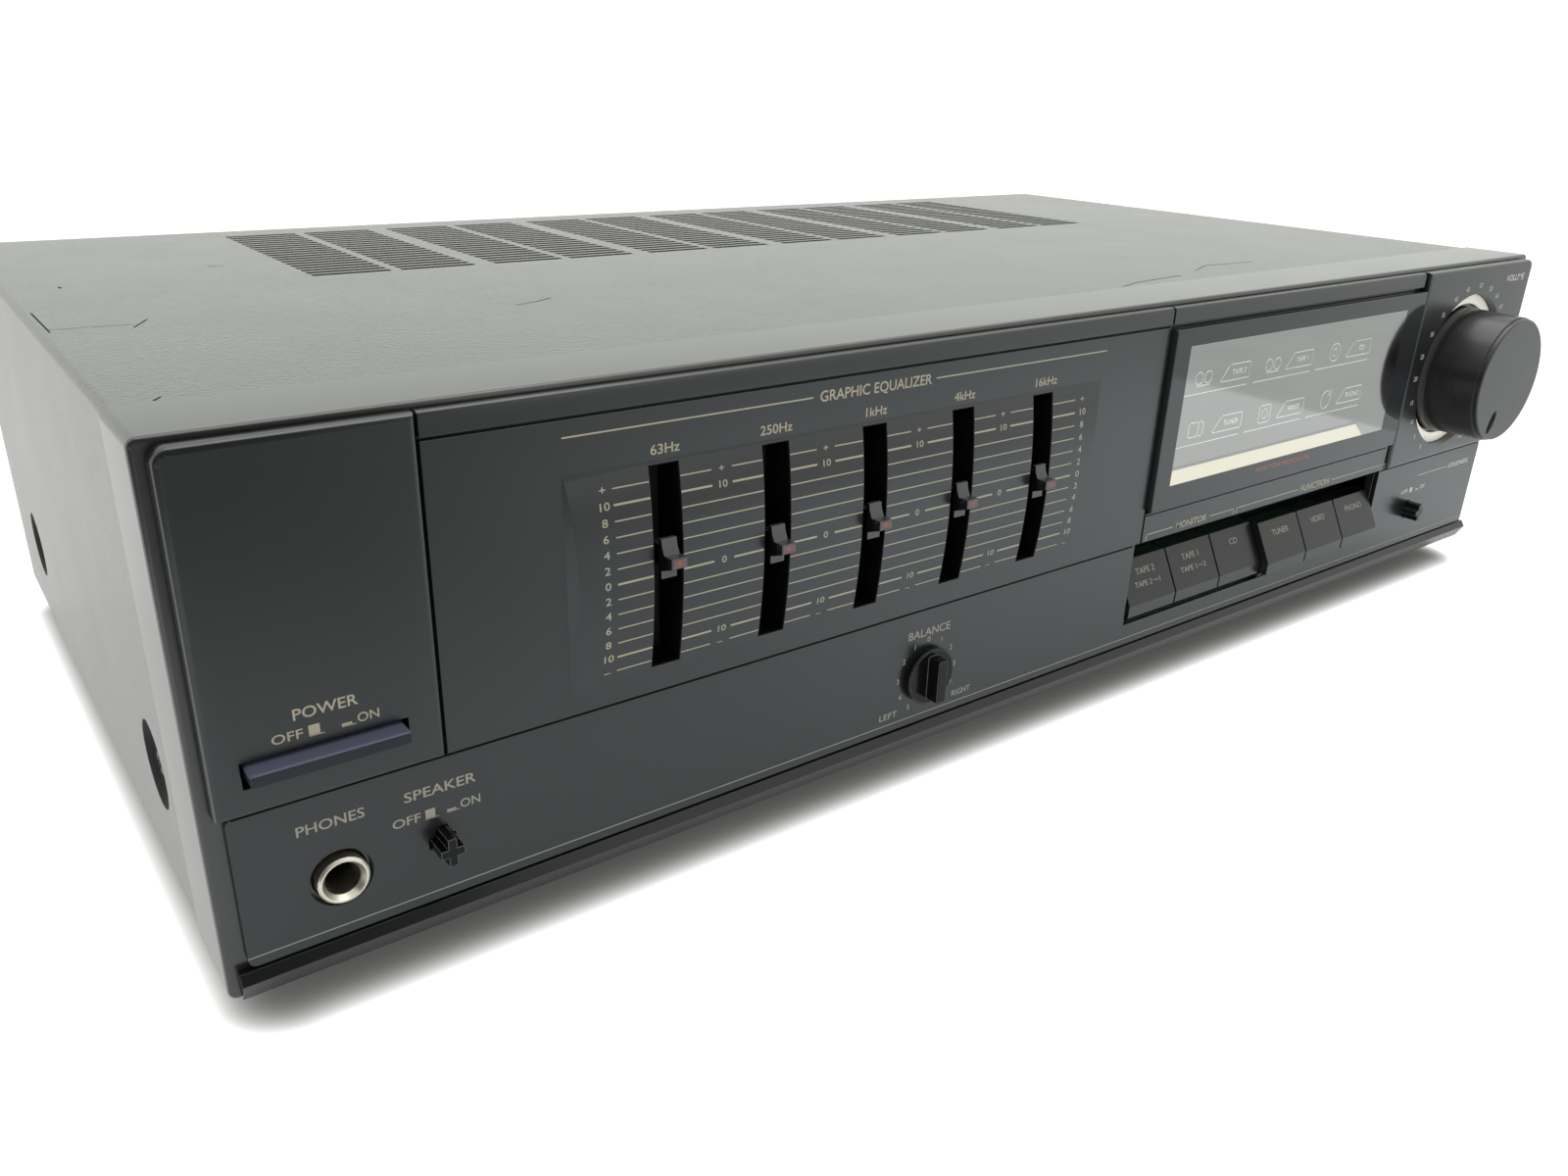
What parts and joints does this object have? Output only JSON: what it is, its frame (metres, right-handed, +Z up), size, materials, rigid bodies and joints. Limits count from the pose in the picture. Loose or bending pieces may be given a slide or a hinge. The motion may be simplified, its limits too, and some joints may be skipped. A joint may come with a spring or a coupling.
{
  "type": "integrated amplifier",
  "caption": "Slim charcoal integrated stereo amplifier with a barrel-shaped graphic equaliser field, display window, source keys, large volume knob and slotted steel cover.",
  "frame": {"origin": "middle of the footprint at the level that the feet stand on", "axes": "+X to the right seen from the front, +Y from the front to the back, +Z up; the front faces -Y"},
  "size_m": [0.42, 0.25, 0.1061],
  "materials": {
    "bezel_plastic": "moulded plastic with a fine satin texture, mid grey",
    "fascia_plastic": "satin charcoal plastic with a smooth semi-gloss coat",
    "control_plastic": "satin charcoal plastic",
    "cap_plastic": "satin grey plastic",
    "display_gloss": "polished smoked acrylic",
    "circuit_board": "resin-bonded paper circuit board",
    "ring_print": "cream satin plastic",
    "black_controls": "black satin plastic",
    "knob_plastic": "black moulded knob with a flat grey face",
    "bright_metal": "bright nickel plate",
    "black_plastic": "black moulded plastic",
    "pot_steel": "plated sheet steel",
    "cover_paint": "satin grey paint on folded steel",
    "tray_steel": "zinc-plated sheet steel",
    "rear_paint": "satin dark grey paint on sheet steel",
    "foot_rubber": "black moulded rubber",
    "core_iron": "varnished iron laminations",
    "winding_tape": "amber insulating tape",
    "sink_aluminium": "plain extruded aluminium",
    "capacitor_sleeve": "dark shrink sleeve"
  },
  "bodies": {
    "case": {"front_bezel": "bezel_plastic", "power_block": "fascia_plastic", "equaliser_panel": "fascia_plastic", "display_surround": "fascia_plastic", "volume_block": "fascia_plastic", "lower_strip": "fascia_plastic", "bottom_moulding": "fascia_plastic", "display_panel": "display_gloss", "display_board": "circuit_board", "control_board": "circuit_board", "main_board": "circuit_board", "scale_ring": "ring_print", "phones_bushing": "bright_metal", "phones_jack": "black_plastic", "power_switch": "black_plastic", "speaker_switch": "black_plastic", "loudness_switch": "black_plastic", "key_switch": "black_plastic", "power_module": "black_plastic", "input_sockets": "black_plastic", "speaker_terminals": "black_plastic", "mains_inlet": "black_plastic", "volume_pot": "pot_steel", "balance_pot": "pot_steel", "slide_pot_1": "pot_steel", "slide_pot_2": "pot_steel", "slide_pot_3": "pot_steel", "slide_pot_4": "pot_steel", "slide_pot_5": "pot_steel", "top_cover": "cover_paint", "chassis_tray": "tray_steel", "rear_panel": "rear_paint", "foot_front_left": "foot_rubber", "foot_front_right": "foot_rubber", "foot_rear_left": "foot_rubber", "foot_rear_right": "foot_rubber", "transformer_core": "core_iron", "transformer_winding": "winding_tape", "heat_sink": "sink_aluminium", "capacitor_left": "capacitor_sleeve", "capacitor_right": "capacitor_sleeve"},
    "power_button": {"power_button": "control_plastic"},
    "speaker_button": {"speaker_button": "black_controls"},
    "loudness_button": {"loudness_button": "black_controls"},
    "volume_knob": {"volume_knob": "knob_plastic", "volume_shaft": "bright_metal"},
    "balance_knob": {"balance_knob": "black_controls", "balance_shaft": "bright_metal"},
    "source_key_1": {"source_key_1": "control_plastic"},
    "source_key_2": {"source_key_2": "control_plastic"},
    "source_key_3": {"source_key_3": "control_plastic"},
    "source_key_4": {"source_key_4": "control_plastic"},
    "source_key_5": {"source_key_5": "control_plastic"},
    "source_key_6": {"source_key_6": "control_plastic"},
    "slider_cap_1": {"slider_cap_1": "cap_plastic"},
    "slider_cap_2": {"slider_cap_2": "cap_plastic"},
    "slider_cap_3": {"slider_cap_3": "cap_plastic"},
    "slider_cap_4": {"slider_cap_4": "cap_plastic"},
    "slider_cap_5": {"slider_cap_5": "cap_plastic"}
  },
  "joints": [
    {"name": "power_button_press", "type": "slide", "parent": "case", "child": "power_button", "axis": [0, 1, 0], "range_m": [0, 0.003], "stiffness_N_per_m": 250, "springref_m": -0.002},
    {"name": "speaker_button_press", "type": "slide", "parent": "case", "child": "speaker_button", "axis": [0, 1, 0], "range_m": [0, 0.003], "stiffness_N_per_m": 200, "springref_m": -0.002},
    {"name": "loudness_button_press", "type": "slide", "parent": "case", "child": "loudness_button", "axis": [0, 1, 0], "range_m": [0, 0.003], "stiffness_N_per_m": 200, "springref_m": -0.002},
    {"name": "source_key_1_press", "type": "slide", "parent": "case", "child": "source_key_1", "axis": [0, 1, 0], "range_m": [-0.0024, 0.0006]},
    {"name": "source_key_2_press", "type": "slide", "parent": "case", "child": "source_key_2", "axis": [0, 1, 0], "range_m": [-0.0024, 0.0006]},
    {"name": "source_key_3_press", "type": "slide", "parent": "case", "child": "source_key_3", "axis": [0, 1, 0], "range_m": [-0.0024, 0.0006]},
    {"name": "source_key_4_press", "type": "slide", "parent": "case", "child": "source_key_4", "axis": [0, 1, 0], "range_m": [0, 0.003], "stiffness_N_per_m": 250, "springref_m": -0.002},
    {"name": "source_key_5_press", "type": "slide", "parent": "case", "child": "source_key_5", "axis": [0, 1, 0], "range_m": [0, 0.003], "stiffness_N_per_m": 250, "springref_m": -0.002},
    {"name": "source_key_6_press", "type": "slide", "parent": "case", "child": "source_key_6", "axis": [0, 1, 0], "range_m": [0, 0.003], "stiffness_N_per_m": 250, "springref_m": -0.002},
    {"name": "slider_1_slide", "type": "slide", "parent": "case", "child": "slider_cap_1", "axis": [0, 0, 1], "range_m": [-0.0179, 0.0121]},
    {"name": "slider_2_slide", "type": "slide", "parent": "case", "child": "slider_cap_2", "axis": [0, 0, 1], "range_m": [-0.0155, 0.0145]},
    {"name": "slider_3_slide", "type": "slide", "parent": "case", "child": "slider_cap_3", "axis": [0, 0, 1], "range_m": [-0.0155, 0.0145]},
    {"name": "slider_4_slide", "type": "slide", "parent": "case", "child": "slider_cap_4", "axis": [0, 0, 1], "range_m": [-0.0155, 0.0145]},
    {"name": "slider_5_slide", "type": "slide", "parent": "case", "child": "slider_cap_5", "axis": [0, 0, 1], "range_m": [-0.0155, 0.0145]},
    {"name": "volume_turn", "type": "hinge", "parent": "case", "child": "volume_knob", "pos_m": [0.1727, -0.10555, 0.0723], "axis": [0, 1, 0], "range_deg": [0, 300]},
    {"name": "balance_turn", "type": "hinge", "parent": "case", "child": "balance_knob", "pos_m": [-0.0535, -0.10555, 0.0264], "axis": [0, 1, 0], "range_deg": [-145, 145]}
  ]
}
